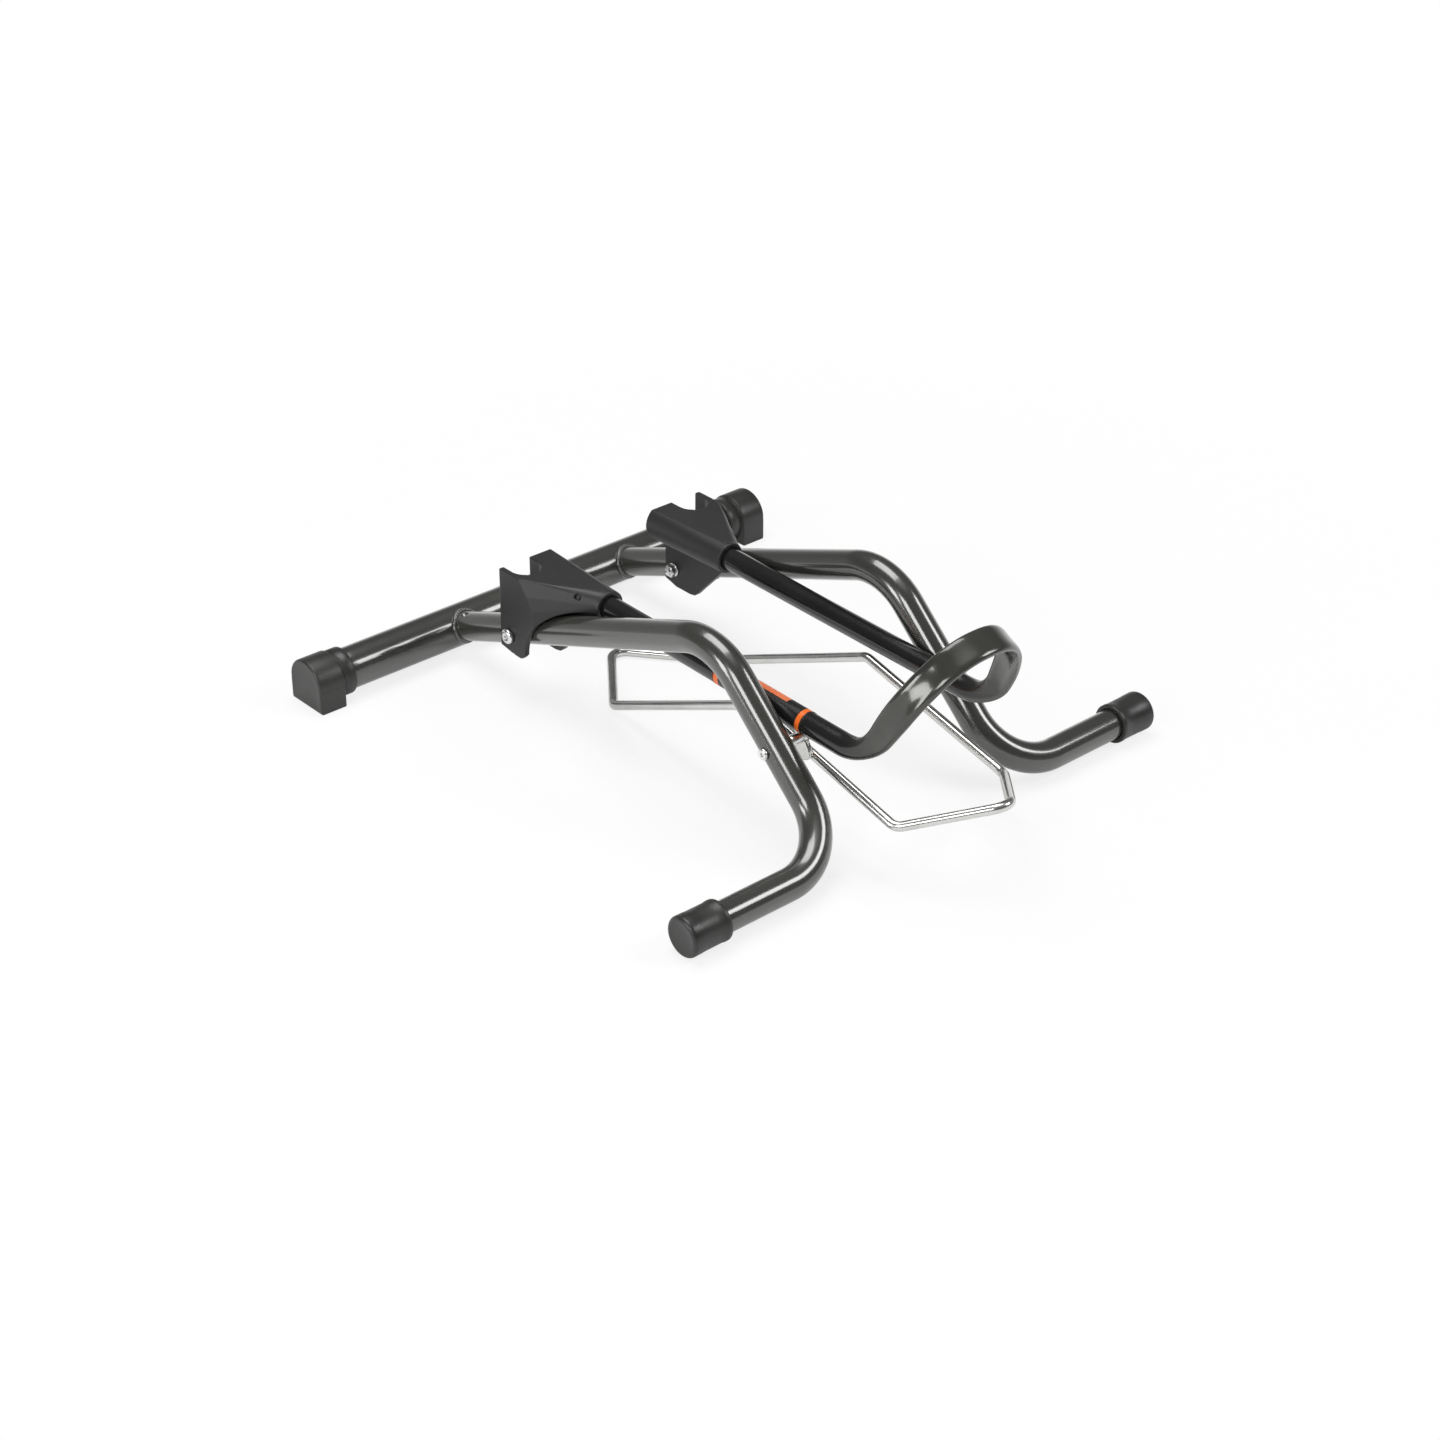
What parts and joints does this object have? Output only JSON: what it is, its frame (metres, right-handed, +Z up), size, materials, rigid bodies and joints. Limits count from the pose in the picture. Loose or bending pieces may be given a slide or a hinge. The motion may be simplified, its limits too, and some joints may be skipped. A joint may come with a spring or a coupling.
{
  "type": "folding bicycle floor stand",
  "caption": "Folding tubular floor stand that holds a bicycle upright by one wheel, with a hinged hoop, moulded brackets and a rocking wire cradle.",
  "frame": {"origin": "on the floor, under the centre of the stand's bounding box as it lies folded", "axes": "+X forward from the base bar to the foot bars and the wire's pointed front lip, +Y to the stand's left, +Z up"},
  "size_m": [0.5856, 0.492, 0.1957],
  "materials": {
    "bar_paint": "gloss",
    "rubber": "satin",
    "zinc": "bright",
    "hoop_paint": "satin",
    "bracket_plastic": "matte",
    "band": "satin",
    "wire": "polished"
  },
  "bodies": {
    "frame": {"base_bar": "bar_paint", "leg_left": "bar_paint", "leg_right": "bar_paint", "weld_left": "bar_paint", "weld_right": "bar_paint", "foot_left": "rubber", "foot_right": "rubber", "leg_cap_left": "rubber", "leg_cap_right": "rubber", "pivot_sleeve_left": "zinc", "pivot_sleeve_right": "zinc", "hoop_bolt_left": "zinc", "hoop_bolt_right": "zinc", "hoop_washer_left": "zinc", "hoop_washer_right": "zinc", "hoop_nut_left": "zinc", "hoop_nut_right": "zinc", "cradle_bolt_left": "zinc", "cradle_bolt_right": "zinc", "cradle_spacer_left": "zinc", "cradle_spacer_right": "zinc", "cradle_washer_left": "zinc", "cradle_washer_right": "zinc", "cradle_nut_left": "zinc", "cradle_nut_right": "zinc"},
    "hoop": {"hoop": "hoop_paint", "bracket_left": "bracket_plastic", "bracket_right": "bracket_plastic", "bracket_rivet_left": "zinc", "bracket_rivet_right": "zinc", "label_band": "band"},
    "cradle": {"cradle_wire": "wire", "cradle_lug_left": "wire", "cradle_lug_right": "wire"}
  },
  "joints": [
    {"name": "hoop_fold", "type": "hinge", "parent": "frame", "child": "hoop", "pos_m": [-0.17064, 0, 0.05845], "axis": [0, -1, 0], "range_deg": [0, 112]},
    {"name": "cradle_tilt", "type": "hinge", "parent": "frame", "child": "cradle", "pos_m": [0.13639, 0, 0.08199], "axis": [0, 1, 0], "range_deg": [0, 3.5]}
  ]
}
